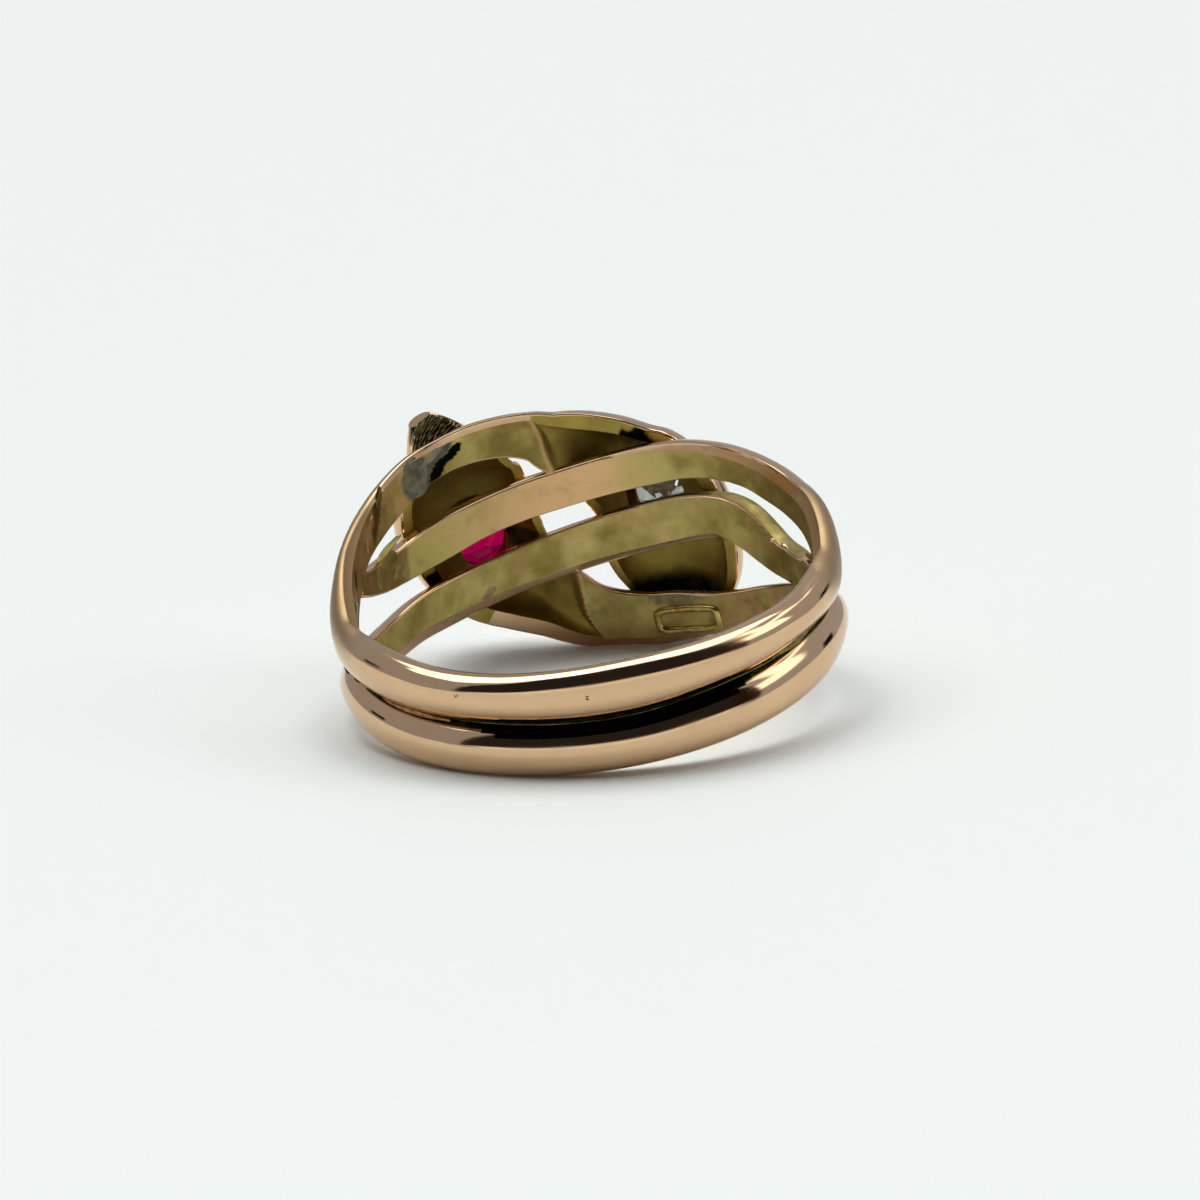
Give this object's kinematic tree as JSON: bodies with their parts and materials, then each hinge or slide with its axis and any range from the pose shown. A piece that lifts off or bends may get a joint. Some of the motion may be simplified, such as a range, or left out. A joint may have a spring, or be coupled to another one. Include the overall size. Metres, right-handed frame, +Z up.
{
  "type": "double-headed snake ring",
  "caption": "Finger ring of two soldered gold snakes that cross at the front, each with a hollow head set with a stone, lying on its side.",
  "frame": {"origin": "centre of the ring's box on the surface it lies on", "axes": "+Z up as the ring lies on its side; +Y towards the snakes' heads; -Y the plain back of the band; +X to the right in the picture's view from the back"},
  "size_m": [0.0194, 0.0212, 0.0103],
  "materials": {
    "rose_gold": "worn polished nine-carat rose gold, duller and greener inside the heads",
    "ruby_stone": "faceted pinkish-red stone",
    "diamond_stone": "faceted colourless stone"
  },
  "bodies": {
    "root": {"snake_band": "rose_gold", "ruby": "ruby_stone", "diamond": "diamond_stone"}
  },
  "joints": []
}
